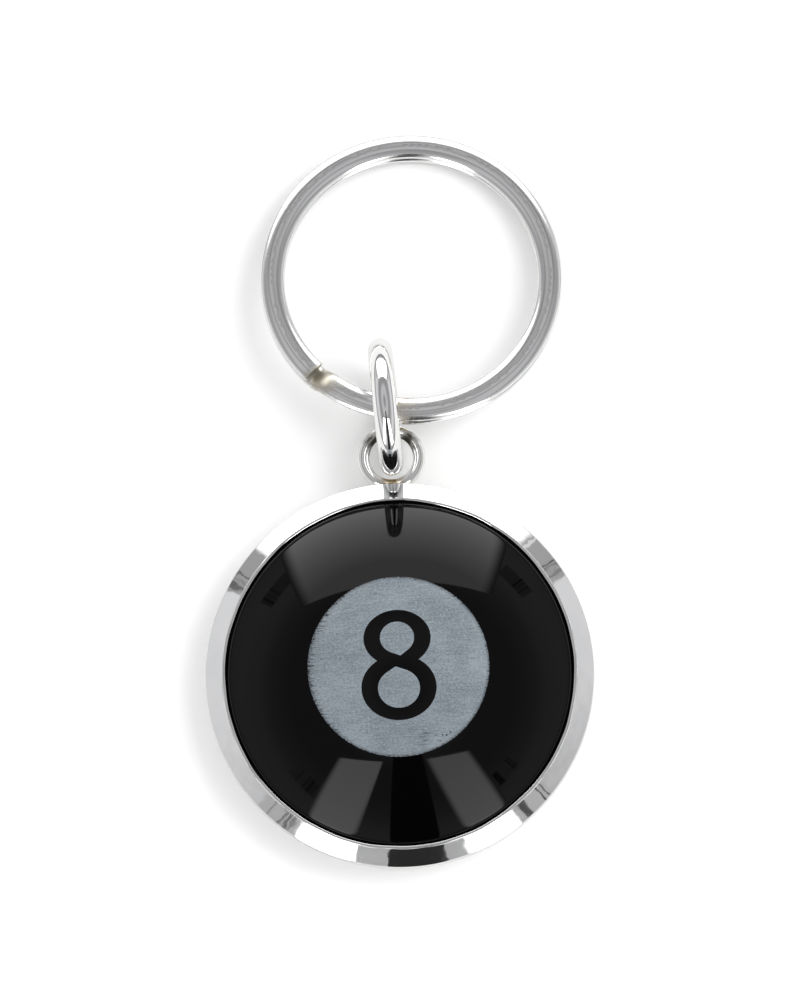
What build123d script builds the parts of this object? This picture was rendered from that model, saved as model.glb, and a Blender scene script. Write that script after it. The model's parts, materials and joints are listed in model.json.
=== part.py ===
"""An eight-ball key fob: a bevelled metal bezel round a black dome with a numbered spot,
an eye soldered to its rim, a round connecting link and a double-coil split ring.

The fob lies on its flat back. Millimetres; +X to the right, +Y from the disc towards the
split ring, +Z up through the dome. The origin is the centre of the back face.
"""
import math
import os
from build123d import *

# ---- bezel -------------------------------------------------------------------------------
disc_diameter = 32.0        # over the rim
back_bevel_height = 2.6     # cone under the rim, from the back face up
back_bevel_width = 0.9
rim_band_height = 1.0       # short upright band that the eye is soldered to
bevel_width = 1.4           # polished cone over the band
bevel_angle = 30.0          # of the cone, above level
lip_width = 0.25            # thin edge turned up over the dome
lip_height = 0.15           # how far the lip stands over the cone
lip_depth = 0.35            # from the lip's top to where it bears on the dome

# ---- dome, its bed and the back ----------------------------------------------------------
dome_overlap = 0.15         # how far the dome's girdle reaches under the lip
dome_cap_radius = 24.0      # of the large polished cap
dome_shoulder_radius = 1.6  # of the tighter curve down to the girdle
seat_clearance = 0.03       # radial, between girdle and bezel
plate_thickness = 1.0       # flat back plate
plate_clearance = 0.02      # radial, between plate and bezel
cement_thickness = 0.2      # bed between plate and dome
cement_margin = 0.4         # how far the bed stops short of the girdle

# ---- numbered spot -----------------------------------------------------------------------
spot_diameter = 14.9
spot_depth = 0.1            # the pale fill sits this deep in the dome
upper_bowl_centre = 2.24    # of the figure 8, along Y from the spot's centre
upper_bowl_size = (5.51, 4.71)
lower_bowl_centre = -1.85
lower_bowl_size = (6.16, 5.36)
stroke_side = 1.36          # thickness of the figure at the sides of its bowls
stroke_end = 1.0            # thickness at its top and bottom
waist_height = 0.30         # of the middle of the spine, along Y from the spot's centre
spine_half = 0.44           # half the thickness of the slanted spine at the waist
spine_slant = 0.22          # how far each counter's point stands off the centre line
point_reach = 0.2           # how far each counter's blunt point reaches past its oval

# ---- eye ring and its solder -------------------------------------------------------------
eye_hole = 3.6              # inside, wide enough for the link's wire
eye_wire = 1.0
eye_bite = 0.6              # how far its foot is filed away to fit the rim
solder_reach = 2.7          # half the length of the solder along the rim
solder_height = 0.42

# ---- connecting link ---------------------------------------------------------------------
link_diameter = 11.4        # outside
link_wire = 2.0
link_clearance = 0.16       # between the link's inside and the eye's wire
link_lean = 3.4             # degrees that the link is turned about Z

# ---- split ring --------------------------------------------------------------------------
ring_diameter = 25.0        # outside
ring_wire_width = 2.0       # across the wire, along the ring's radius
ring_wire_height = 0.9      # of one coil, along the ring's axis
ring_wire_corner = 0.40
ring_turn = -12.6           # degrees that the ring is turned about Z
ring_drop = 0.82            # how far its wire passes below the link's centre
ring_offset = 0.10          # how far its wire passes beyond the link's centre
upper_end = 236.0           # degrees round the ring: where the upper coil is cut off
lower_end = 277.0           # where the lower coil is cut off
ramp_start = 245.5          # where the wire leaves the upper coil
ramp_finish = 236.5         # where it has reached the lower coil
ramp_steps = 6

floor_gap = 0.02            # keeps what stands on the table just clear of it

# ---- worked out --------------------------------------------------------------------------
disc_radius = disc_diameter / 2
bevel_rise = bevel_width * math.tan(math.radians(bevel_angle))
rim_top = back_bevel_height + rim_band_height
bevel_top = rim_top + bevel_rise
lip_top = bevel_top + lip_height
lip_outer_radius = disc_radius - bevel_width
opening_radius = lip_outer_radius - lip_width
girdle_radius = opening_radius + dome_overlap
bore_radius = girdle_radius + seat_clearance
dome_base = plate_thickness + cement_thickness

# The shoulder is an arc that meets the girdle and the cap smoothly, and touches the lip.
shoulder_axis = girdle_radius - dome_shoulder_radius
lip_contact = math.sqrt(dome_shoulder_radius**2 - (opening_radius - shoulder_axis) ** 2)
shoulder_height = lip_top - lip_depth - lip_contact
cap_centre = shoulder_height - math.sqrt(
    (dome_cap_radius - dome_shoulder_radius) ** 2 - shoulder_axis**2)
dome_top = cap_centre + dome_cap_radius

eye_diameter = eye_hole + 2 * eye_wire
eye_radius = (eye_diameter - eye_wire) / 2
eye_centre = disc_radius - eye_bite + eye_diameter / 2
eye_height = back_bevel_height + rim_band_height / 2

link_radius = (link_diameter - link_wire) / 2
link_height = link_diameter / 2 + floor_gap
link_hang = link_radius - link_wire / 2 - eye_wire / 2 - link_clearance
link_rise = link_height - eye_height
link_reach = eye_radius + math.sqrt(link_hang**2 - link_rise**2)

ring_radius = (ring_diameter - ring_wire_width) / 2
crossing_reach = link_reach + ring_offset
crossing_height = link_height - ring_drop


def lean(distance):
    """A point on the link's plane, this far from the eye's centre, in plan."""
    angle = math.radians(link_lean)
    return (-distance * math.sin(angle), eye_centre + distance * math.cos(angle))


def resting_tilt():
    """Degrees that the split ring tips about its wire, so that its far side rests."""
    across = 2 * ring_radius + ring_wire_width / 2 - ring_wire_corner
    below = 1.5 * ring_wire_height - ring_wire_corner
    drop = crossing_height - ring_wire_corner - floor_gap
    return math.degrees(math.asin(drop / math.hypot(across, below)) - math.atan2(below, across))


def turned(outline):
    """A solid of revolution about Z from a closed line in the XZ plane."""
    return revolve(make_face(Plane.XZ * outline), Axis.Z, 360)


def dome_blank(extra=0.0):
    """The dome before its spot is cut; extra makes it larger all over, for its seat."""
    girdle = girdle_radius + extra
    low = dome_base - extra
    high = dome_top + extra
    shoulder = dome_shoulder_radius + extra
    reach = dome_cap_radius - dome_shoulder_radius
    slope = math.asin(shoulder_axis / reach)
    join = (shoulder_axis + shoulder * math.sin(slope), shoulder_height + shoulder * math.cos(slope))
    middle = (math.pi / 2 + slope) / 2
    bend = (shoulder_axis + shoulder * math.sin(middle), shoulder_height + shoulder * math.cos(middle))
    cap = dome_cap_radius + extra
    crown = (cap * math.sin(slope / 2), cap_centre + cap * math.cos(slope / 2))
    outline = Polyline((0, high), (0, low), (girdle, low), (girdle, shoulder_height))
    outline += ThreePointArc((girdle, shoulder_height), bend, join)
    outline += ThreePointArc(join, crown, (0, high))
    return turned(outline)


def bezel_frame():
    """The turned ring: back cone, band, polished cone and lip, bored to take the dome."""
    outline = Polyline(
        (bore_radius, 0),
        (disc_radius - back_bevel_width, 0),
        (disc_radius, back_bevel_height),
        (disc_radius, rim_top),
        (lip_outer_radius, bevel_top),
        (lip_outer_radius, lip_top),
        (opening_radius, lip_top),
        (opening_radius, dome_base),
        (bore_radius, dome_base),
        close=True,
    )
    return turned(outline) - dome_blank(seat_clearance)


def back_plate():
    return Pos(0, 0, plate_thickness / 2) * Cylinder(bore_radius - plate_clearance, plate_thickness)


def dome_cement():
    middle = plate_thickness + cement_thickness / 2
    return Pos(0, 0, middle) * Cylinder(girdle_radius - cement_margin, cement_thickness)


def counter(centre, size):
    """One opening of the figure 8: an oval drawn in to a blunt point at the spine."""
    away = math.copysign(1, centre)
    point = (away * spine_slant, waist_height + away * spine_half)
    outer = centre + away * (size[1] / 2 - stroke_end)
    inner = point[1] + away * point_reach
    middle = (outer + inner) / 2
    half_width = size[0] / 2 - stroke_side
    half_height = abs(outer - inner) / 2
    across = point[0] / half_width
    along = (point[1] - middle) / half_height
    aim = math.atan2(along, across)
    spread = math.acos(1 / math.hypot(across, along))
    touches = [
        (half_width * math.cos(aim + turn), middle + half_height * math.sin(aim + turn))
        for turn in (-spread, spread)
    ]
    wedge = make_face(Polyline(point, *touches, close=True))
    return Pos(0, middle) * Ellipse(half_width, half_height) + wedge


def figure_eight():
    """The figure 8 in plan: two joined bowls, each with a pointed counter."""
    figure = Pos(0, upper_bowl_centre) * Ellipse(upper_bowl_size[0] / 2, upper_bowl_size[1] / 2)
    figure += Pos(0, lower_bowl_centre) * Ellipse(lower_bowl_size[0] / 2, lower_bowl_size[1] / 2)
    figure -= counter(upper_bowl_centre, upper_bowl_size)
    figure -= counter(lower_bowl_centre, lower_bowl_size)
    return figure


def number_spot():
    """The pale round spot, a thin skin of the dome's own curve with the 8 left out."""
    below = Pos(0, 0, cap_centre) * Sphere(dome_cap_radius - spot_depth)
    column = Pos(0, 0, dome_top) * Cylinder(spot_diameter / 2, dome_cap_radius / 2)
    figure = extrude(Pos(0, 0, dome_base) * figure_eight(), dome_top)
    return (dome_blank() & column) - below - figure


def eye_blank():
    return Pos(0, eye_centre, eye_height) * Torus(eye_radius, eye_wire / 2)


def rim_column():
    """A tall round bar of the rim's size, for what is fitted against the rim."""
    return Pos(0, 0, eye_height) * Cylinder(disc_radius, 4 * rim_top)


def eye_ring():
    """Round wire ring, its foot filed to the rim."""
    return eye_blank() - rim_column()


def eye_solder():
    """Two small fillets of solder between the eye's foot and the rim."""
    foot = disc_radius - solder_height / 8
    pool = Pos(0, foot, eye_height) * scale(
        Sphere(1), by=(solder_reach, solder_height, solder_height))
    return pool - eye_blank() - rim_column()


def connecting_link():
    """Round ring of heavy wire, standing on edge and threaded through the eye."""
    x, y = lean(link_reach)
    ring = Rot(0, 90, 0) * Torus(link_radius, link_wire / 2)
    return Pos(x, y, link_height) * Rot(0, 0, link_lean) * ring


def wire_section(angle, height):
    """The wire's rounded section at an angle round the ring and a height along its axis."""
    place = Rot(0, 0, angle) * Pos(ring_radius, 0, height) * Rot(90, 0, 0)
    return place * RectangleRounded(ring_wire_width, ring_wire_height, ring_wire_corner)


def coil(start, sweep_angle, height):
    return revolve(wire_section(start, height), Axis.Z, sweep_angle)


def ramp():
    """The stretch where the wire steps down from the upper coil to the lower one."""
    sections = []
    for step in range(ramp_steps + 1):
        share = step / ramp_steps
        angle = ramp_start + (ramp_finish - ramp_start) * share
        ease = (1 - math.cos(math.pi * share)) / 2
        sections.append(wire_section(angle, ring_wire_height * (0.5 - ease)))
    return loft(sections)


def split_ring():
    """Two coils of one wire; the upper one passes through the link."""
    upper = coil(ramp_start, upper_end + 360 - ramp_start, ring_wire_height / 2)
    lower = coil(lower_end, ramp_finish + 360 - lower_end, -ring_wire_height / 2)
    ring = upper + ramp() + lower
    x, y = lean(crossing_reach)
    centred = Pos(0, ring_radius, -ring_wire_height / 2) * ring
    tipped = Rot(0, 0, ring_turn) * Rot(-resting_tilt(), 0, 0) * centred
    return Pos(x, y, crossing_height) * tipped


def main():
    spot = number_spot()
    pieces = {
        "bezel_frame": bezel_frame(),
        "back_plate": back_plate(),
        "dome_cement": dome_cement(),
        "black_dome": dome_blank() - spot,
        "number_spot": spot,
        "eye_ring": eye_ring(),
        "eye_solder": eye_solder(),
        "connecting_link": connecting_link(),
        "split_ring": split_ring(),
    }
    os.makedirs("parts", exist_ok=True)
    for name, piece in pieces.items():
        export_step(piece, f"parts/{name}.step")
        print(f"{name}: {len(piece.solids())} solid(s), {piece.volume:.2f} mm3")
    swing = lean(eye_radius)
    crossing = lean(crossing_reach)
    print(f"link swings about ({swing[0]:.4f}, {swing[1]:.4f}, {eye_height:.4f})")
    print(f"ring swings about ({crossing[0]:.4f}, {crossing[1]:.4f}, {crossing_height:.4f})")
    print(f"ring rests at {resting_tilt():.3f} degrees; dome top at {dome_top:.3f}")


main()
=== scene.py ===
# %% [markdown]
# # A key fob with a numbered black dome
# The fob is a bevelled metal bezel round a polished black dome, with a small wire eye, a round
# connecting link and a double-coil split ring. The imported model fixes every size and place, so
# the first cell loads it and keeps its box, and each later piece takes its measures from there.

# %% Load the frame
import json
import math
import bpy
from mathutils import Matrix, Vector


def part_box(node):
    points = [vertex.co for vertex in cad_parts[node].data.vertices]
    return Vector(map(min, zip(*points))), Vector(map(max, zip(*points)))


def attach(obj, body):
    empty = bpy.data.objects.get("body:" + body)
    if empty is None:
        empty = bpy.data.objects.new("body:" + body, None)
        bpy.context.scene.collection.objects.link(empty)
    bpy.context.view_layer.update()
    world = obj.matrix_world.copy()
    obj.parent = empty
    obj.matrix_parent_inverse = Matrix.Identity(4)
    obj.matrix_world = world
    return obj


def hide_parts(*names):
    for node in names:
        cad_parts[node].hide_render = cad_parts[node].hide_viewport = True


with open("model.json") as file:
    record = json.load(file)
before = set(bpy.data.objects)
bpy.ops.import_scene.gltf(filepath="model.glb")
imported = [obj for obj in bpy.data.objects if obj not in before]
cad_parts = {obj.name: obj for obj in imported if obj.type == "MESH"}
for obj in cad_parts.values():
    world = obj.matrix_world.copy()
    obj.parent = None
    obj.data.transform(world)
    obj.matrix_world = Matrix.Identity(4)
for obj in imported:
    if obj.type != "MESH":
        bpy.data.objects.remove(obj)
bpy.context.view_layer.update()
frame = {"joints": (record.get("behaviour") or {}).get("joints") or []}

MM = 0.001
joints = {joint["name"]: joint for joint in frame["joints"]}

# %% [markdown]
# ## Camera
# The fob lies on its back and is seen from almost straight above, through a long lens, so that
# its rounds stay nearly round. The camera leans a little towards the bottom of the fob and to
# its right, and it is rolled, so that the fob lies a couple of degrees askew in the picture.

# %% Place the camera
camera_lean = 9.5           # degrees from straight above
camera_turn = 6.8           # degrees round the fob, from its bottom towards its right
camera_roll = -9.2          # degrees about its own line of sight
camera_distance = 900 * MM
view_width = 66.05 * MM     # what the frame's width covers at the fob
view_centre = Vector((0.58 * MM, 14.64 * MM, 3.1 * MM))

camera = bpy.data.objects.new("camera", bpy.data.cameras.new("camera"))
bpy.context.scene.collection.objects.link(camera)
sight = Matrix.Rotation(math.radians(camera_turn), 3, "Z")
sight = sight @ Matrix.Rotation(math.radians(camera_lean), 3, "X")
sight = sight @ Matrix.Rotation(math.radians(camera_roll), 3, "Z")
camera.rotation_euler = sight.to_euler()
camera.location = view_centre + sight @ Vector((0, 0, camera_distance))
camera.data.sensor_fit = "HORIZONTAL"
camera.data.lens = camera.data.sensor_width * camera_distance / view_width
camera.data.clip_start = 10 * MM
bpy.context.scene.camera = camera
print("camera lens", round(camera.data.lens, 1))

# %% [markdown]
# ## Helpers for modelling
# Every operator works on what is selected, and the frame arrives selected, so each piece starts
# by clearing the selection. Round pieces are turned as on a lathe: a plane is merged to one
# vertex, the vertex is extruded along half of the section, and the line is spun about Z.

# %% Start and finish a mesh
def deselect():
    if bpy.context.object and bpy.context.object.mode != "OBJECT":
        bpy.ops.object.mode_set(mode="OBJECT")
    bpy.ops.object.select_all(action="DESELECT")


def settle(name, angle=None):
    """Names the active mesh, applies its place, and smooths it all or up to an angle."""
    piece = bpy.context.object
    piece.name = piece.data.name = name
    bpy.ops.object.transform_apply(location=True, rotation=True, scale=True)
    bpy.ops.object.shade_smooth()
    if angle:
        bpy.ops.object.shade_smooth_by_angle(angle=math.radians(angle))
    return piece


def tidy_mesh(distance=0.0005 * MM):
    """In edit mode: joins doubled vertices and points the faces outwards."""
    bpy.ops.mesh.select_all(action="SELECT")
    bpy.ops.mesh.remove_doubles(threshold=distance)
    bpy.ops.mesh.normals_make_consistent(inside=False)


def apply_modifier(piece, kind, **settings):
    bpy.context.view_layer.objects.active = piece
    modifier = piece.modifiers.new(kind.title(), kind)
    for key, value in settings.items():
        setattr(modifier, key, value)
    bpy.ops.object.modifier_apply(modifier=modifier.name)


# %% Turn a section on the lathe
def lathe(name, section, steps=256, angle=None):
    """section is the half outline as (radius, height) in metres; a loop repeats its start."""
    deselect()
    start = section[0]
    bpy.ops.mesh.primitive_plane_add(size=MM, location=(start[0], 0, start[1]))
    bpy.ops.object.transform_apply(location=True)
    bpy.ops.object.mode_set(mode="EDIT")
    bpy.ops.mesh.merge(type="CENTER")
    for here, there in zip(section, section[1:]):
        step = (there[0] - here[0], 0, there[1] - here[1])
        bpy.ops.mesh.extrude_region_move(TRANSFORM_OT_translate={"value": step})
    bpy.ops.mesh.select_all(action="SELECT")
    bpy.ops.mesh.spin(steps=steps, angle=math.tau, center=(0, 0, 0), axis=(0, 0, 1))
    tidy_mesh()
    bpy.ops.object.mode_set(mode="OBJECT")
    piece = settle(name, angle)
    print(name, len(piece.data.polygons), "faces")
    return piece


def arc(centre, radius, start, stop, count):
    """Points round an arc in the section's plane; degrees from the radius towards the height."""
    points = []
    for step in range(count + 1):
        turn = math.radians(start + (stop - start) * step / count)
        points.append((centre[0] + radius * math.cos(turn), centre[1] + radius * math.sin(turn)))
    return points


# %% [markdown]
# ## Bezel
# On the real fob the bezel is a turned ring: a cone behind, a short upright band, a wide
# polished cone in front, and a thin lip burnished over the dome by hand, so the lip is a little
# uneven. It is a lathe job. Real metal has no sharp edges, so each corner gets a small round.

# %% Measure and turn the bezel
frame_low, frame_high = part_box("bezel_frame")
dome_low, dome_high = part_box("black_dome")
eye_low, eye_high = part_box("eye_ring")
rim_radius = frame_high[0]
band_low, band_high = eye_low[2], eye_high[2]
lip_top = frame_high[2]
back_bevel_width = 0.9 * MM
bevel_width = 1.4 * MM
lip_width = 0.25 * MM
lip_height = 0.15 * MM
bore_radius = dome_high[0] + 0.03 * MM
lip_outer = rim_radius - bevel_width
opening_radius = lip_outer - lip_width
bevel_top = lip_top - lip_height


largest_share = 1 / 2.8     # of an edge that one corner's curve may take up
hold = 1.3                  # where the holding points stand, in lengths of the curve's reach


def rounded(points, radius, count=4):
    """The outline with each inner corner replaced by a small curve. A holding point just outside
    each end of the curve keeps the shading of the faces beside it flat."""
    line = [points[0]]
    for before, corner, after in zip(points, points[1:], points[2:]):
        here = Vector(corner)
        back = Vector(before) - here
        on = Vector(after) - here
        reach = min(radius, back.length * largest_share, on.length * largest_share)
        first = here + back.normalized() * reach
        last = here + on.normalized() * reach
        curve = [here + back.normalized() * reach * hold]
        for step in range(count + 1):
            share = step / count
            curve.append(first.lerp(here, share).lerp(here.lerp(last, share), share))
        curve.append(here + on.normalized() * reach * hold)
        line.extend((point.x, point.y) for point in curve)
    return line + [points[-1]]


seat_height = 1.2 * MM
lip_depth = 0.35 * MM
bezel_outline = [
    (bore_radius, seat_height),
    (bore_radius, frame_low[2]),
    (rim_radius - back_bevel_width, frame_low[2]),
    (rim_radius, band_low),
    (rim_radius, band_high),
    (lip_outer, bevel_top),
    (lip_outer, lip_top),
    (opening_radius, lip_top),
    (opening_radius, lip_top - lip_depth),
    (bore_radius, seat_height),
]
bezel = lathe("bezel", rounded(bezel_outline, 0.09 * MM), steps=320, angle=25)

# %% Burnish the lip by hand
# The lip's vertices are pushed in and out by a few slow waves round the ring.
sideways_wave = 0.018 * MM
upward_wave = 0.008 * MM
pressed_down = 0.012 * MM
for vertex in bezel.data.vertices:
    radius = math.hypot(vertex.co.x, vertex.co.y)
    if radius < lip_outer + 0.02 * MM and vertex.co.z > bevel_top - 0.1 * MM:
        turn = math.atan2(vertex.co.y, vertex.co.x)
        wave = math.sin(9 * turn) + 0.6 * math.sin(17 * turn + 1.3) + 0.5 * math.sin(31 * turn)
        share = 1 + wave * sideways_wave / radius
        vertex.co.x *= share
        vertex.co.y *= share
        vertex.co.z += upward_wave * math.sin(23 * turn + 0.7) - pressed_down
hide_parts("bezel_frame")
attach(bezel, "fob")

# %% [markdown]
# ## Dome
# The dome is a black cabochon: one large polished cap, a tighter shoulder that dives under the
# lip, and an upright girdle. The section is a flat base and a girdle with two arcs over them.
# The arcs' points stand close together, so that reflections stay clean.

# %% Turn the dome
cap_radius = 24.0 * MM
shoulder_radius = 1.6 * MM
girdle_radius = dome_high[0]
cap_centre = dome_high[2] - cap_radius
shoulder_axis = girdle_radius - shoulder_radius
shoulder_height = cap_centre + math.sqrt((cap_radius - shoulder_radius) ** 2 - shoulder_axis**2)
join = math.degrees(math.acos(shoulder_axis / (cap_radius - shoulder_radius)))
dome_section = [(0, dome_low[2]), (girdle_radius, dome_low[2])]
dome_section += arc((shoulder_axis, shoulder_height), shoulder_radius, 0, join, 14)
dome_section += arc((0, cap_centre), cap_radius, join, 90, 60)[1:]
dome = lathe("dome", dome_section, steps=288, angle=35)
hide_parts("black_dome")
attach(dome, "fob")

# %% [markdown]
# ## Back plate and cement
# The back is a flat disc let into the bezel, with a bed of cement between it and the dome. Both
# are plain turned discs. The plate's edge is rounded, and a shallow turned step runs round it.

# %% Turn the plate and the bed
plate_low, plate_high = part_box("back_plate")
cement_low, cement_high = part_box("dome_cement")
plate_radius = plate_high[0]
step_depth = 0.05 * MM
step_outer = plate_radius - 1.5 * MM
step_width = 0.4 * MM
step_slope = 0.1 * MM
plate_outline = [
    (0, plate_low[2]),
    (step_outer - step_width, plate_low[2]),
    (step_outer - step_width + step_slope, plate_low[2] + step_depth),
    (step_outer - step_slope, plate_low[2] + step_depth),
    (step_outer, plate_low[2]),
    (plate_radius, plate_low[2]),
    (plate_radius, plate_high[2]),
    (0, plate_high[2]),
]
plate = lathe("plate", rounded(plate_outline, 0.06 * MM, 3), steps=192, angle=25)
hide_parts("back_plate")
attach(plate, "fob")

bed_radius = cement_high[0]
bed_outline = [(0, cement_low[2]), (bed_radius, cement_low[2])]
bed_outline += [(bed_radius, cement_high[2]), (0, cement_high[2])]
bed = lathe("cement_bed", rounded(bed_outline, 0.08 * MM, 3), steps=96, angle=40)
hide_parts("dome_cement")
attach(bed, "fob")

# %% [markdown]
# ## Numbered spot
# The pale spot is a frosted skin that follows the dome, with the figure 8 left as bare black
# dome. The skin is turned on the lathe, and a figure-8 cutter is taken out of it. The cutter is
# two oval drums joined, less two oval openings that are each drawn in to a point at the waist.

# %% Turn the skin
spot_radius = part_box("number_spot")[1][0]
skin_depth = 0.1 * MM
proud = 0.004 * MM          # the frosting stands this far over the polish
edge = math.degrees(math.acos(spot_radius / cap_radius))
skin_section = arc((0, cap_centre), cap_radius - skin_depth, 90, edge, 40)
skin_section += arc((0, cap_centre), cap_radius + proud, edge, 90, 40)
skin = lathe("spot", skin_section, steps=224, angle=30)


# %% Build the figure 8 and cut it out
def oval_drum(name, centre, size):
    deselect()
    middle = (0, centre, dome_high[2])
    bpy.ops.mesh.primitive_cylinder_add(vertices=128, radius=0.5, depth=8 * MM, location=middle)
    bpy.ops.transform.resize(value=(size[0], size[1], 1))
    return settle(name, 30)


def draw_to_point(drum, centre, size, point):
    """Drags the drum's vertices that face the waist along straight lines to a point."""
    half_width, half_height = size[0] / 2, size[1] / 2
    across = point[0] / half_width
    along = (point[1] - centre) / half_height
    aim = math.atan2(along, across)
    spread = math.acos(1 / math.hypot(across, along))
    for vertex in drum.data.vertices:
        turn = math.atan2((vertex.co.y - centre) / half_height, vertex.co.x / half_width)
        off = (turn - aim + math.pi) % math.tau - math.pi
        if abs(off) < spread:
            end = aim + math.copysign(spread, off)
            touch = Vector((half_width * math.cos(end), centre + half_height * math.sin(end)))
            spot = touch.lerp(Vector(point), 1 - abs(off) / spread)
            vertex.co.x, vertex.co.y = spot.x, spot.y


def join_by(piece, other, operation):
    apply_modifier(piece, "BOOLEAN", object=other, operation=operation, solver="EXACT")
    bpy.data.objects.remove(other)


bowls = ((2.24 * MM, (5.51 * MM, 4.71 * MM)), (-1.85 * MM, (6.16 * MM, 5.36 * MM)))
stroke_side = 1.36 * MM
stroke_end = 1.0 * MM
waist_height = 0.30 * MM
spine_half = 0.44 * MM
spine_slant = 0.22 * MM
point_reach = 0.2 * MM

cutter = oval_drum("figure_cutter", *bowls[0])
join_by(cutter, oval_drum("lower_bowl", *bowls[1]), "UNION")
for centre, size in bowls:
    away = math.copysign(1, centre)
    tip = waist_height + away * spine_half
    outer = centre + away * (size[1] / 2 - stroke_end)
    inner = tip + away * point_reach
    middle = (outer + inner) / 2
    opening = (size[0] - 2 * stroke_side, abs(outer - inner))
    counter = oval_drum("counter", middle, opening)
    draw_to_point(counter, middle, opening, (away * spine_slant, tip))
    counter.scale.z = 1.2
    join_by(cutter, counter, "DIFFERENCE")
join_by(skin, cutter, "DIFFERENCE")
deselect()
skin.select_set(True)
bpy.context.view_layer.objects.active = skin
bpy.ops.object.shade_smooth_by_angle(angle=math.radians(30))
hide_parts("number_spot")
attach(skin, "fob")
print("spot", len(skin.data.polygons), "faces")

# %% [markdown]
# ## Eye ring and solder
# The eye is a ring of 1 mm wire with its foot filed to the rim, so a torus is bisected just
# inside the rim. The solder is a drop that ran a little way along the rim as it cooled. It is a
# sphere stretched along the rim, with its vertices moved to leave it a little lumpy.

# %% Bend the eye and run the solder
eye_wire = eye_high[2] - eye_low[2]
eye_outer = eye_high[0]
eye_place = Vector((0, eye_high[1] - eye_outer, (eye_low[2] + eye_high[2]) / 2))
foot_sink = 0.12 * MM       # how far the filed foot goes into the rim's round
deselect()
bpy.ops.mesh.primitive_torus_add(
    location=eye_place, major_segments=160, minor_segments=48,
    major_radius=eye_outer - eye_wire / 2, minor_radius=eye_wire / 2)
bpy.ops.object.transform_apply(location=True)
bpy.ops.object.mode_set(mode="EDIT")
bpy.ops.mesh.select_all(action="SELECT")
bpy.ops.mesh.bisect(
    plane_co=(0, rim_radius - foot_sink, 0), plane_no=(0, 1, 0), use_fill=True, clear_inner=True)
bpy.ops.object.mode_set(mode="OBJECT")
eye = settle("eye", 40)
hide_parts("eye_ring")
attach(eye, "fob")
print("eye", len(eye.data.polygons), "faces")

solder_reach = 1.3 * MM
solder_height = 0.40 * MM
solder_lumps = 0.012 * MM
solder_place = (0, rim_radius - 0.06 * MM, eye_place.z)
deselect()
bpy.ops.mesh.primitive_uv_sphere_add(segments=64, ring_count=32, radius=1, location=solder_place)
bpy.ops.object.mode_set(mode="EDIT")
bpy.ops.transform.resize(value=(solder_reach, solder_height, solder_height))
bpy.ops.object.mode_set(mode="OBJECT")
solder = settle("solder")
for vertex in solder.data.vertices:
    lump = math.sin(vertex.co.x / (0.23 * MM)) * math.sin(vertex.co.z / (0.19 * MM) + 0.8)
    vertex.co.y += solder_lumps * lump
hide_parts("eye_solder")
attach(solder, "fob")
print("solder", len(solder.data.polygons), "faces")

# %% [markdown]
# ## Connecting link
# The link is a closed ring of 2 mm wire, standing on edge and threaded through the eye. The real
# one was bent from straight wire, soldered shut and polished until the joint was gone, so it is
# an even torus. It leans by as much as the axis that it swings about.

# %% Bend the link
link_low, link_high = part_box("connecting_link")
link_wire = 2.0 * MM
link_outer = (link_high[2] - link_low[2]) / 2
lean_axis = Vector(joints["link_swing"]["axis"])
link_lean = math.atan2(lean_axis.y, lean_axis.x)
link_place = (Vector(link_low) + Vector(link_high)) / 2
deselect()
bpy.ops.mesh.primitive_torus_add(
    location=link_place, rotation=(0, math.pi / 2, link_lean),
    major_segments=256, minor_segments=72,
    major_radius=link_outer - link_wire / 2, minor_radius=link_wire / 2)
link = settle("link")
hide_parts("connecting_link")
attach(link, "link")
print("link", len(link.data.polygons), "faces", "leans", round(math.degrees(link_lean), 2))

# %% [markdown]
# ## Split ring
# The ring is one length of flattened spring wire wound nearly twice round. It could be a screw
# modifier, but its two coils lie flat on each other and one short ramp joins them, so the wire
# is a curve whose points are worked out by angle, swept with the wire's own section.

# %% Wind the split ring
ring_outer = 12.5 * MM
wire_width = 2.0 * MM
wire_height = 0.9 * MM
wire_corner = 0.40 * MM
upper_end = 236.0           # degrees round the ring
lower_end = 277.0
ramp_start = 245.5
ramp_finish = 236.5
floor_gap = 0.02 * MM
ring_mean = ring_outer - wire_width / 2
crossing = Vector(joints["ring_swing"]["pos_m"])
ring_axis = Vector(joints["ring_swing"]["axis"])
ring_turn = math.atan2(ring_axis.y, ring_axis.x)
across = 2 * ring_mean + wire_width / 2 - wire_corner
below = 1.5 * wire_height - wire_corner
drop = crossing.z - wire_corner - floor_gap
ring_tilt = math.asin(drop / math.hypot(across, below)) - math.atan2(below, across)


def coil_point(angle):
    """A point on the wire's middle line, in the ring's own plane, for an unwound angle."""
    share = min(1, max(0, (ramp_start - angle) / (ramp_start - ramp_finish)))
    ease = (1 - math.cos(math.pi * share)) / 2
    turn = math.radians(angle)
    height = wire_height * (0.5 - ease)
    return (ring_mean * math.cos(turn), ring_mean * math.sin(turn), height)


def wire_outline(count=48, power=2.35):
    """A flattened round section with a crowned top, as drawn wire has."""
    points = []
    for step in range(count):
        turn = math.tau * step / count
        x, y = math.cos(turn), math.sin(turn)
        points.append((
            math.copysign(abs(x) ** (2 / power), x) * wire_width / 2,
            math.copysign(abs(y) ** (2 / power), y) * wire_height / 2,
            0))
    return points


def poly_curve(name, points, closed):
    curve = bpy.data.curves.new(name, "CURVE")
    curve.dimensions = "3D"
    spline = curve.splines.new("POLY")
    spline.points.add(len(points) - 1)
    for point, place in zip(spline.points, points):
        point.co = (*place, 1)
    spline.use_cyclic_u = closed
    piece = bpy.data.objects.new(name, curve)
    bpy.context.scene.collection.objects.link(piece)
    return piece


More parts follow.
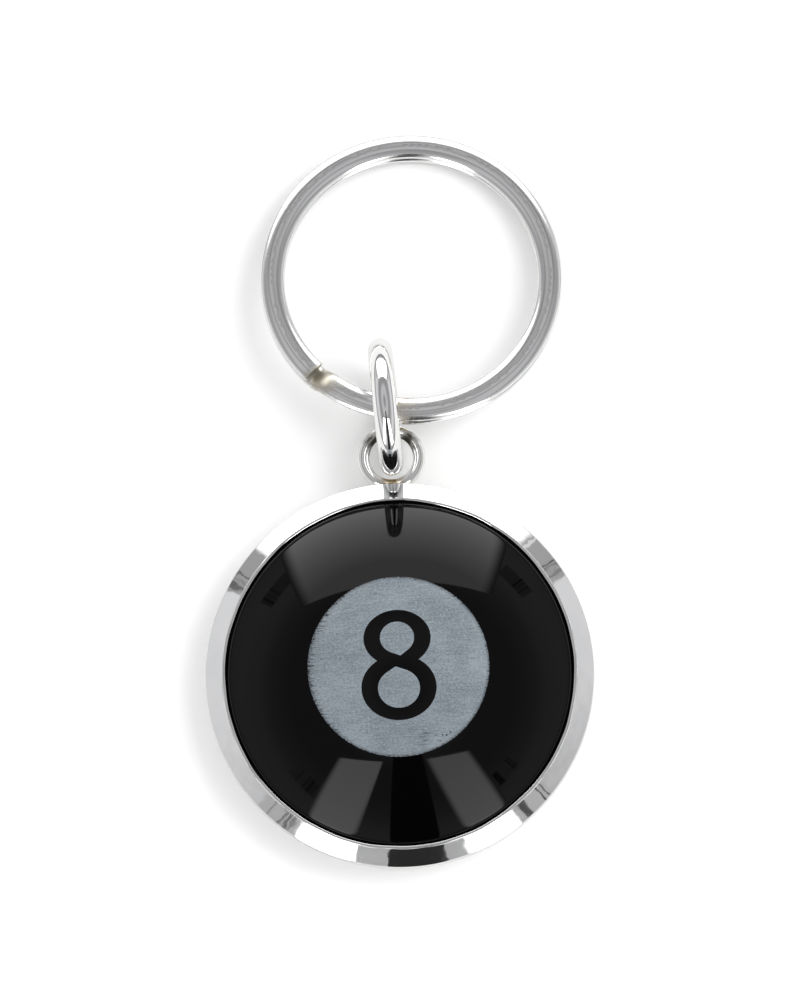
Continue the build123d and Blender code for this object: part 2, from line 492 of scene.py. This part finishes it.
angles = []
angle = upper_end + 360
while angle > lower_end - 360:
    angles.append(angle)
    angle -= 0.5 if ramp_finish - 1 < angle < ramp_start + 1 else 1.5
angles.append(lower_end - 360)
section = poly_curve("wire_section", wire_outline(), True)
ring = poly_curve("ring", [coil_point(a) for a in angles], False)
ring.data.twist_mode = "Z_UP"
ring.data.bevel_mode = "OBJECT"
ring.data.bevel_object = section
ring.data.use_fill_caps = True
deselect()
ring.select_set(True)
bpy.context.view_layer.objects.active = ring
bpy.ops.object.convert(target="MESH")
bpy.data.objects.remove(section)
ring = bpy.context.object
bpy.ops.object.mode_set(mode="EDIT")
tidy_mesh()
bpy.ops.object.mode_set(mode="OBJECT")
flank_share = 0.35          # how much a flank's height counts as distance across the wire
second_coil = 11            # moves the grain of one coil along from the grain of the other
round_section = ring.data.attributes.new("round_section", "FLOAT", "POINT")
along_wire = ring.data.attributes.new("along_wire", "FLOAT", "POINT")
for vertex in ring.data.vertices:
    x, y, z = vertex.co
    radius = math.hypot(x, y)
    flank = math.copysign(flank_share * abs(z), radius - ring_mean)
    round_section.data[vertex.index].value = radius + flank
    turn = (math.atan2(y, x) - math.radians(ramp_finish)) % math.tau
    along_wire.data[vertex.index].value = ring_mean * turn + second_coil * z
    vertex.co.y += ring_mean
    vertex.co.z -= wire_height / 2
ring.rotation_euler = (-ring_tilt, 0, ring_turn)
ring.location = crossing


def ring_spot(angle, height):
    """Where a point of the wire lies once the ring is laid down."""
    turn = math.radians(angle)
    flat = Vector((ring_mean * math.cos(turn), ring_mean * (1 + math.sin(turn)), height))
    return crossing + Matrix.Rotation(ring_turn, 3, "Z") @ Matrix.Rotation(-ring_tilt, 3, "X") @ flat


ramp_place = ring_spot(241.0, 0)
tail_place = ring_spot(lower_end, -wire_height)
ring = settle("ring", 40)
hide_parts("split_ring")
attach(ring, "ring")
print("ring", len(ring.data.polygons), "faces", "tilt", round(math.degrees(ring_tilt), 2))

# %% [markdown]
# ## Shader groups
# Polished metal is never perfectly clean or flat. It has fine handling scratches, a faint
# unevenness from the buffing wheel, and brown tarnish where the wheel never reached. The same
# round mask round a point also lays painted shade. Each is a node group with plain numbers going
# in and a mask or a height coming out, so that each material can use it with its own strength.

# %% Helpers for nodes
def new_group(name, inputs, outputs):
    group = bpy.data.node_groups.new(name, "ShaderNodeTree")
    for label, kind, value in inputs:
        group.interface.new_socket(label, in_out="INPUT", socket_type=kind).default_value = value
    for label in outputs:
        group.interface.new_socket(label, in_out="OUTPUT", socket_type="NodeSocketFloat")
    start = group.nodes.new("NodeGroupInput").outputs
    finish = group.nodes.new("NodeGroupOutput").inputs
    return group, start, finish


def add(tree, kind, links=None, **settings):
    """Adds a node; links maps an input's name or number to a socket or a plain value."""
    node = tree.nodes.new("ShaderNode" + kind)
    for key, value in settings.items():
        setattr(node, key, value)
    for key, value in (links or {}).items():
        if isinstance(value, bpy.types.NodeSocket):
            tree.links.new(value, node.inputs[key])
        else:
            node.inputs[key].default_value = value
    return node


def calc(tree, operation, *values):
    return add(tree, "Math", dict(enumerate(values)), operation=operation).outputs[0]


def rise(tree, value, low, high, top=1.0):
    """A mask that rises smoothly from 0 at low to top at high."""
    links = {"Value": value, "From Min": low, "From Max": high, "To Max": top}
    return add(tree, "MapRange", links, interpolation_type="SMOOTHSTEP").outputs[0]


def fill_ramp(node, tones, blue=1.0):
    """Sets a colour ramp's stops from pairs of place and grey value, with a little more blue."""
    stops = node.color_ramp.elements
    for stop, (place, value) in zip([stops[0], stops[1]], (tones[0], tones[-1])):
        stop.position = place
        stop.color = (value, value, value * blue, 1)
    for place, value in tones[1:-1]:
        stops.new(place).color = (value, value, value * blue, 1)


def here(tree):
    return add(tree, "TexCoord").outputs["Object"]


def noise(tree, place, scale, detail=2.0):
    """scale is in cycles for each metre, one number or three."""
    if isinstance(scale, tuple):
        place = add(tree, "VectorMath", {0: place, 1: scale}, operation="MULTIPLY").outputs[0]
        scale = 1.0
    return add(tree, "TexNoise", {"Vector": place, "Scale": scale, "Detail": detail}).outputs["Fac"]


# %% Handling marks and buffing
scratches, start, finish = new_group(
    "handling_marks", [("Fineness", "NodeSocketFloat", 500.0)], ["Scratches", "Clouds"])
place = here(scratches)
place = add(scratches, "VectorMath", {0: place, "Scale": start["Fineness"]}, operation="SCALE").outputs[0]
total = 0.0
for turn, shift in ((12, 0.0), (74, 40.0), (131, 90.0)):
    turned = add(scratches, "Mapping", {
        "Vector": place, "Rotation": (0.3, 0.2, math.radians(turn)), "Location": (shift, shift, 0)})
    crests = noise(scratches, turned.outputs[0], (1, 26, 6))
    total = calc(scratches, "MAXIMUM", total, rise(scratches, crests, 0.66, 0.76))
scratches.links.new(total, finish["Scratches"])
scratches.links.new(rise(scratches, noise(scratches, place, 0.5, 4.0), 0.35, 0.75), finish["Clouds"])

buffing, start, finish = new_group(
    "buffing", [("Wave", "NodeSocketFloat", 600.0), ("Grain", "NodeSocketFloat", 5000.0)], ["Height"])
place = here(buffing)
slow = add(buffing, "TexNoise", {"Vector": place, "Scale": start["Wave"], "Detail": 1.0}).outputs["Fac"]
fine = add(buffing, "TexNoise", {"Vector": place, "Scale": start["Grain"], "Detail": 2.0}).outputs["Fac"]
buffing.links.new(calc(buffing, "MULTIPLY_ADD", fine, 0.03, slow), finish["Height"])

# One round mask for both real brown tarnish and painted shade.
tarnish_and_shade, start, finish = new_group(
    "tarnish_and_shade", [("Centre", "NodeSocketVector", (0, 0, 0)), ("Reach", "NodeSocketFloat", 0.001)], ["Mask"])
place = here(tarnish_and_shade)
away = add(tarnish_and_shade, "VectorMath", {0: place, 1: start["Centre"]}, operation="DISTANCE").outputs["Value"]
share = calc(tarnish_and_shade, "DIVIDE", away, start["Reach"])
share = calc(tarnish_and_shade, "MULTIPLY_ADD", noise(tarnish_and_shade, place, 1500.0, 4.0), -0.9, share)
tarnish_and_shade.links.new(rise(tarnish_and_shade, calc(tarnish_and_shade, "SUBTRACT", 0.45, share), 0.0, 0.6), finish["Mask"])
print("groups", [group.name for group in bpy.data.node_groups])


# %% [markdown]
# ## Metal finishes
# The bezel, eye and link are polished and plated: almost a mirror, so the colour is nearly
# white and the roughness very low, raised a little along scratches and in the clouds. The eye also
# has painted shade laid on its inner upper arcs. The ring is drawn through a die, which leaves
# lines along the wire, so the ring carries the distance across its wire as one attribute and the
# distance along it as another. The light and dark bands across the wire are a ramp across it, a
# painted reflection of the rounded wire, and the die's fine lines are noise stretched along it.

# %% Make the metals
def new_material(name, color, roughness, metallic=1.0):
    material = bpy.data.materials.new(name)
    material.use_nodes = True
    shader = material.node_tree.nodes["Principled BSDF"]
    shader.inputs["Base Color"].default_value = (*color, 1)
    shader.inputs["Roughness"].default_value = roughness
    shader.inputs["Metallic"].default_value = metallic
    return material, material.node_tree, shader


def mix_color(tree, share, first, second):
    node = add(tree, "Mix", {"Factor": share}, data_type="RGBA")
    for socket, value in ((node.inputs[6], first), (node.inputs[7], second)):
        if isinstance(value, bpy.types.NodeSocket):
            tree.links.new(value, socket)
        else:
            socket.default_value = (*value, 1)
    return node.outputs[2]


def use_group(tree, group, **values):
    node = tree.nodes.new("ShaderNodeGroup")
    node.node_tree = group
    for key, value in values.items():
        node.inputs[key].default_value = value
    return node.outputs


def bump(tree, shader, height, depth):
    """depth is the real height in metres that a height of 1 stands for."""
    relief = add(tree, "Bump", {"Height": height, "Strength": 1.0, "Distance": depth})
    tree.links.new(relief.outputs[0], shader.inputs["Normal"])


def polished(name, color, dull, roughness, fineness, wave_depth):
    material, tree, shader = new_material(name, color, roughness)
    marks = use_group(tree, scratches, Fineness=fineness)
    tree.links.new(mix_color(tree, marks["Clouds"], color, dull), shader.inputs["Base Color"])
    rough = calc(tree, "MULTIPLY_ADD", marks["Scratches"], 0.07, roughness)
    rough = calc(tree, "MULTIPLY_ADD", marks["Clouds"], roughness, rough)
    tree.links.new(rough, shader.inputs["Roughness"])
    bump(tree, shader, use_group(tree, buffing, Wave=700.0)["Height"], wave_depth)
    return material, tree, shader


def add_tarnish_and_shade(tree, shader, centre, reach, color=(0.42, 0.33, 0.20)):
    """Lays a colour over whatever colour the shader has, round a point: brown tarnish by default, or a
    dark colour as painted shade.
    """
    mask = use_group(tree, tarnish_and_shade, Centre=centre, Reach=reach)["Mask"]
    before = shader.inputs["Base Color"].links[0].from_socket
    tree.links.new(mix_color(tree, mask, before, color), shader.inputs["Base Color"])
    rough = shader.inputs["Roughness"].links[0].from_socket
    tree.links.new(calc(tree, "MULTIPLY_ADD", mask, 0.25, rough), shader.inputs["Roughness"])


def dress(piece, material):
    piece.data.materials.clear()
    piece.data.materials.append(material)


foot = (0, rim_radius, eye_place.z)
silver, tree, shader = polished(
    "polished_silver", (0.93, 0.93, 0.925), (0.89, 0.895, 0.89), 0.03, 500, 0.012 * MM)
dress(bezel, silver)
dress(plate, silver)

wire_silver, tree, shader = polished(
    "wire_silver", (0.95, 0.945, 0.93), (0.90, 0.89, 0.865), 0.04, 800, 0.006 * MM)
add_tarnish_and_shade(tree, shader, foot, 1.7 * MM)
# Two near-black patches on the eye's inner upper arcs are painted shade.
for side in (-1, 1):
    painted_shade_spot = (side * 1.25 * MM, eye_place.y + 1.15 * MM, eye_place.z)
    add_tarnish_and_shade(tree, shader, painted_shade_spot, 1.5 * MM, (0.07, 0.062, 0.05))
dress(eye, wire_silver)

link_silver, tree, shader = polished(
    "link_silver", (0.95, 0.95, 0.95), (0.90, 0.90, 0.895), 0.035, 700, 0.006 * MM)
dress(link, link_silver)

solder_metal, tree, shader = polished(
    "solder_metal", (0.78, 0.74, 0.64), (0.55, 0.49, 0.38), 0.14, 900, 0.02 * MM)
add_tarnish_and_shade(tree, shader, foot, 2.2 * MM)
dress(solder, solder_metal)

# %% Draw the steel
steel, tree, shader = new_material("drawn_steel", (0.70, 0.70, 0.695), 0.16)
round_section = add(tree, "Attribute", attribute_name="round_section").outputs["Fac"]
along_wire = add(tree, "Attribute", attribute_name="along_wire").outputs["Fac"]
wire_place = add(tree, "CombineXYZ", {0: round_section, 1: along_wire}).outputs[0]
lines = noise(tree, wire_place, (14000.0, 90.0, 0), 3.0)
broad = noise(tree, wire_place, (3000.0, 25.0, 0), 1.0)
side = calc(tree, "DIVIDE", calc(tree, "SUBTRACT", round_section, ring_mean), wire_width)
# The ramp across the wire paints the light and dark bands that the rounded wire reflects: painted
# reflection.
painted_reflection_bands = add(tree, "ValToRGB", {0: calc(tree, "ADD", side, 0.5)})
fill_ramp(painted_reflection_bands, [
    (0.0, 0.94), (0.08, 0.92), (0.15, 0.55), (0.20, 0.88), (0.30, 0.74), (0.50, 0.62), (0.64, 0.70),
    (0.74, 0.95), (0.81, 0.55), (0.87, 0.90), (1.0, 0.96)])
specks = rise(tree, noise(tree, here(tree), 3800.0, 3.0), 0.64, 0.76, 0.6)
uneven = calc(tree, "MULTIPLY_ADD", broad, 0.5, calc(tree, "MULTIPLY", lines, 0.5))
tone = rise(tree, uneven, 0.35, 0.65, 0.35)
painted_bands_and_tone = mix_color(tree, tone, painted_reflection_bands.outputs[0], (0.80, 0.80, 0.795))
tree.links.new(painted_bands_and_tone, shader.inputs["Base Color"])
rough = calc(tree, "MULTIPLY_ADD", lines, 0.10, 0.11)
tree.links.new(calc(tree, "MULTIPLY_ADD", specks, 0.15, rough), shader.inputs["Roughness"])
height = calc(tree, "MULTIPLY_ADD", broad, 0.3, lines)
bump(tree, shader, calc(tree, "MULTIPLY_ADD", specks, -0.5, height), 0.002 * MM)
add_tarnish_and_shade(tree, shader, ramp_place, 2.2 * MM, (0.48, 0.45, 0.385))
add_tarnish_and_shade(tree, shader, tail_place, 2.2 * MM, (0.45, 0.38, 0.27))
dress(ring, steel)

# %% [markdown]
# ## Black dome
# The dome is black right through with a deep polish. It reflects only about a hundredth of the
# light, so its specular level is low, and it has a few faint wipe marks. The cement behind it is
# a dull, grainy buff.

# %% Make the dome's black
black, tree, shader = new_material("black_dome", (0.0008, 0.0008, 0.001), 0.03, 0.0)
shader.inputs["Specular IOR Level"].default_value = 0.185
marks = use_group(tree, scratches, Fineness=300.0)
rough = calc(tree, "MULTIPLY_ADD", marks["Scratches"], 0.02, 0.03)
tree.links.new(calc(tree, "MULTIPLY_ADD", marks["Clouds"], 0.025, rough), shader.inputs["Roughness"])
dress(dome, black)

# %% Mix the cement
bed_material, tree, shader = new_material("cement", (0.55, 0.5, 0.4), 0.5, 0.0)
grains = noise(tree, here(tree), 900.0, 3.0)
tree.links.new(mix_color(tree, grains, (0.55, 0.5, 0.4), (0.42, 0.37, 0.28)), shader.inputs["Base Color"])
dress(bed, bed_material)

# %% [markdown]
# ## Frosted spot
# The spot looks marked on in fine lines from side to side, so its grey is streaked across, and
# its edge is ragged where lines start late, which is at the left. One grey is built up from the
# lines, a fine grain and larger clouds, and pale specks are painted in as glints. Black is then
# laid over it at the ragged edge, in a few pits low at the right, and in short worn dashes below
# the figure.

# %% Make the spot's grey
grey, tree, shader = new_material("spot_grey", (0.22, 0.25, 0.28), 0.6, 0.0)
shader.inputs["Specular IOR Level"].default_value = 0.2
place = here(tree)
apart = add(tree, "SeparateXYZ", {0: place}).outputs
raster = noise(tree, place, (900.0, 9000.0, 0), 2.0)
grain = noise(tree, place, (5200.0, 6500.0, 0), 2.0)
broad = noise(tree, place, (240.0, 1700.0, 0), 2.0)
cloud = noise(tree, place, 330.0, 3.0)
light = calc(tree, "MULTIPLY_ADD", rise(tree, raster, 0.25, 0.75), 0.24, 0.0)
light = calc(tree, "MULTIPLY_ADD", rise(tree, grain, 0.25, 0.75), 0.44, light)
light = calc(tree, "MULTIPLY_ADD", rise(tree, broad, 0.3, 0.7), 0.12, light)
light = calc(tree, "MULTIPLY_ADD", rise(tree, cloud, 0.3, 0.7), 0.26, light)
body = mix_color(tree, light, (0.085, 0.105, 0.122), (0.265, 0.305, 0.335))
# Pale specks mixed into the grey are painted glints of the frosting.
painted_glints = rise(tree, noise(tree, place, 7500.0, 1.0), 0.66, 0.78, 0.5)
body = mix_color(tree, painted_glints, body, (0.42, 0.46, 0.48))

# %% Wear the spot's edge
pit_place = (3.6 * MM, -6.1 * MM, 8.2 * MM)
worn_place = (1.6 * MM, -5.6 * MM, 8.4 * MM)
late_start = 0.15 * MM      # how late a line may start anywhere
late_start_left = 0.6 * MM  # and on top of that at the left
radius = add(tree, "VectorMath", {0: place, 1: (1, 1, 0)}, operation="MULTIPLY").outputs[0]
radius = add(tree, "VectorMath", {0: radius}, operation="LENGTH").outputs["Value"]
depth = calc(tree, "SUBTRACT", spot_radius, radius)
leftness = rise(tree, apart[0], -3.5 * MM, -6.5 * MM)
late = calc(tree, "MULTIPLY", rise(tree, raster, 0.42, 0.75), late_start)
skipped = rise(tree, noise(tree, place, (600.0, 9500.0, 0), 3.0), 0.45, 0.7)
late_left = calc(tree, "MULTIPLY", skipped, late_start_left)
late = calc(tree, "MULTIPLY_ADD", leftness, late_left, late)
ragged = rise(tree, calc(tree, "SUBTRACT", late, depth), -0.22 * MM, 0.06 * MM)
ragged = calc(tree, "MULTIPLY", ragged, rise(tree, grain, 0.30, 0.62))
speck = add(tree, "TexVoronoi", {"Vector": place, "Scale": 2600.0}).outputs["Distance"]
from_pits = add(tree, "VectorMath", {0: place, 1: pit_place}, operation="DISTANCE").outputs["Value"]
near = rise(tree, from_pits, 1.3 * MM, 0.4 * MM)
pits = calc(tree, "MULTIPLY", calc(tree, "LESS_THAN", speck, 0.24), near)
from_wear = add(tree, "VectorMath", {0: place, 1: worn_place}, operation="DISTANCE").outputs["Value"]
worn = rise(tree, from_wear, 3.0 * MM, 0.5 * MM, 0.75)
dashes = rise(tree, noise(tree, place, (700.0, 8000.0, 0), 3.0), 0.54, 0.66)
dashes = calc(tree, "MULTIPLY", calc(tree, "MULTIPLY", dashes, worn), rise(tree, grain, 0.4, 0.6))
dark = calc(tree, "MAXIMUM", calc(tree, "MAXIMUM", ragged, pits), dashes)
tree.links.new(mix_color(tree, dark, body, (0.01, 0.01, 0.012)), shader.inputs["Base Color"])
bump(tree, shader, grain, 0.004 * MM)
dress(skin, grey)

# %% [markdown]
# ## Table and daylight
# The fob lies on a white table. A broad lamp high at its right throws the soft shadows to its
# left, and the white room fills them. Lamps are hidden from reflections, because what the
# polished metal shows is arranged separately below.

# %% Lay the table and light it
table_size = 3.0
table_gap = 0.02 * MM       # keeps the back plate and the table from flickering through each other
table_color = (0.93, 0.93, 0.93)
table_in_metal = (0.76, 0.76, 0.75)
deselect()
bpy.ops.mesh.primitive_plane_add(size=table_size, location=(0, 0, -table_gap))
table = bpy.context.object
table.name = "table"
table_white, tree, shader = new_material("table_white", table_color, 0.8, 0.0)
shader.inputs["Specular IOR Level"].default_value = 0.0
seen_in_metal = add(tree, "LightPath").outputs["Is Glossy Ray"]
table_tone = mix_color(tree, seen_in_metal, table_color, table_in_metal)
tree.links.new(table_tone, shader.inputs["Base Color"])
dress(table, table_white)


def lamp(name, size, power, location):
    light = bpy.data.lights.new(name, "AREA")
    light.size = size
    light.energy = power
    piece = bpy.data.objects.new(name, light)
    bpy.context.scene.collection.objects.link(piece)
    piece.location = location
    aim = view_centre - Vector(location)
    piece.rotation_euler = aim.to_track_quat("-Z", "Y").to_euler()
    piece.visible_glossy = False
    return piece


lamp("right_lamp", 0.40, 2.0, (0.40, 0.12, 0.55))

# %% [markdown]
# ## What the metal reflects
# A mirror shows only the room round it. This room is a light tent: pale walls that darken
# towards the zenith, where the camera looks in, and towards the horizon, with one paler band
# near the zenith. Within it hang a wide soft box beyond the ring and two tall strips below the
# dome, with black between them. The world shows the tent to reflections alone, and is plain
# white to everything else.

# %% Paint the tent
world = bpy.context.scene.world or bpy.data.worlds.new("room")
bpy.context.scene.world = world
world.use_nodes = True
tree = world.node_tree
tree.nodes.clear()
upward = add(tree, "SeparateXYZ", {0: add(tree, "TexCoord").outputs["Generated"]}).outputs[2]
tent = add(tree, "ValToRGB", {0: upward})
fill_ramp(tent, [
    (0.0, 0.30), (0.06, 0.28), (0.12, 0.38), (0.22, 0.58), (0.38, 0.72), (0.50, 0.66), (0.58, 0.46),
    (0.70, 0.30), (0.84, 0.30), (0.90, 0.50), (0.97, 0.50), (0.99, 0.32), (1.0, 0.28)], blue=1.02)
inside = add(tree, "Background", {"Color": tent.outputs[0]})
plain = add(tree, "Background", {"Color": (1, 1, 1, 1), "Strength": 1.0})
path = add(tree, "LightPath")
lit = add(tree, "MixShader", {
    0: path.outputs["Is Glossy Ray"], 1: plain.outputs[0], 2: inside.outputs[0]})
final = add(tree, "MixShader", {
    0: path.outputs["Is Camera Ray"], 1: lit.outputs[0], 2: plain.outputs[0]})
add(tree, "OutputWorld", {0: final.outputs[0]})


# %% Hang the cards
card_distance = 2.5         # metres, far enough for the whole fob to see the cards alike
wall_glow = 0.3             # what a faded card's sides die away to


def toward(azimuth, steepness):
    """A direction out of the fob, in degrees: azimuth runs from the bottom of the fob towards its
    right, and steepness is measured down from straight above."""
    turn, fall = math.radians(azimuth), math.radians(steepness)
    return Vector((math.sin(turn) * math.sin(fall), -math.cos(turn) * math.sin(fall), math.cos(fall)))


def card(name, corners, upper_glow, lower_glow, distance=card_distance, fade=0.0):
    """A card that fills a patch of the room as seen from the fob. Its corners are directions:
    lower left, lower right, upper right, upper left. The glow runs from its upper edge down, and
    dies away towards both sides over a width of fade."""
    deselect()
    bpy.ops.mesh.primitive_plane_add(size=2, location=(0, 0, 0))
    plane = bpy.context.object
    plane.name = name
    lower_left, lower_right, upper_right, upper_left = corners
    for vertex, corner in zip(plane.data.vertices, (lower_left, lower_right, upper_left, upper_right)):
        vertex.co = view_centre + toward(*corner) * distance
    material = bpy.data.materials.new(name)
    material.use_nodes = True
    tree = material.node_tree
    tree.nodes.clear()
    place = add(tree, "VectorMath", {0: here(tree), 1: view_centre}, operation="SUBTRACT").outputs[0]
    away = add(tree, "VectorMath", {0: place}, operation="NORMALIZE").outputs[0]
    up = add(tree, "SeparateXYZ", {0: away}).outputs[2]
    glow = add(tree, "MapRange", {
        "Value": up, "From Min": toward(*lower_left).z, "From Max": toward(*upper_right).z,
        "To Min": lower_glow, "To Max": upper_glow}).outputs[0]
    if fade:
        along = toward((lower_left[0] + lower_right[0]) / 2 + 90, 90)
        aside = add(tree, "VectorMath", {0: place, 1: along}, operation="DOT_PRODUCT").outputs["Value"]
        edge = abs((plane.data.vertices[0].co - view_centre).dot(along))
        kept = rise(tree, calc(tree, "ABSOLUTE", aside), edge, edge - fade)
        over = calc(tree, "SUBTRACT", glow, wall_glow)
        glow = calc(tree, "MULTIPLY_ADD", over, kept, wall_glow)
    emission = add(tree, "Emission", {"Strength": glow})
    add(tree, "OutputMaterial", {0: emission.outputs[0]})
    dress(plane, material)
    plane.visible_camera = False
    plane.visible_diffuse = False
    plane.visible_shadow = False
    return plane


soft_corners = ((145.8, 81.8), (217.2, 81.8), (227.5, 52.9), (135.5, 52.9))
card("soft_box", soft_corners, 1.9, 5.8, fade=0.25)
card("left_strip", ((-40.4, 82), (-21.7, 82), (-17, 31.5), (-45, 38.5)), 3.6, 5.0, fade=0.12)
card("right_strip", ((22.5, 82), (40.0, 82), (45.5, 38.0), (15.5, 31.0)), 3.4, 4.8, fade=0.12)
card("black_gap", ((-7, 86), (11.5, 86), (16, 17), (-12, 17)), 0.03, 0.008)

# %% Hang the seams of the tent
# Where two walls of the tent meet there is a grey strip with a few darker folds in the cloth.
# Each seam is its middle, half width, upper and lower limits in degrees, and its glow, and each
# fold is its own middle, half width and glow.
fold_distance = 0.97 * card_distance
seams = (
    (227.5, 6.5, 64.5, 70.5, 0.34, ((228.4, 0.35, 0.14), (230.4, 0.2, 0.2), (232.3, 0.6, 0.13))),
    (133.5, 6.5, 62.5, 68.5, 0.36, ((132.6, 0.4, 0.08), (131.2, 0.25, 0.16), (129.4, 0.4, 0.2))),
    (-50.0, 8.0, 52.5, 58.5, 0.42, (
        (-46.9, 1.0, 0.16), (-44.6, 0.5, 0.20), (-49.2, 0.4, 0.16), (-53.5, 0.4, 0.24))),
    (49.3, 7.6, 51.5, 57.5, 0.44, ((45.4, 1.5, 0.07), (53.4, 0.35, 0.06), (54.9, 0.3, 0.12))),
)
for number, (middle, half_width, high, low, glow, folds) in enumerate(seams, 1):
    patch = ((-1, low), (1, low), (1, high), (-1, high))
    card(f"seam_{number}", [(middle + side * half_width, fall) for side, fall in patch], glow, glow)
    for fold, (azimuth, half_fold, fold_glow) in enumerate(folds, 1):
        lines = [(azimuth + side * half_fold, fall) for side, fall in patch]
        card(f"fold_{number}_{fold}", lines, fold_glow, fold_glow, fold_distance)
print("seams", len(seams), "folds", sum(len(seam[-1]) for seam in seams))

# %% Colour of the finished picture
bpy.context.scene.view_settings.view_transform = "Standard"
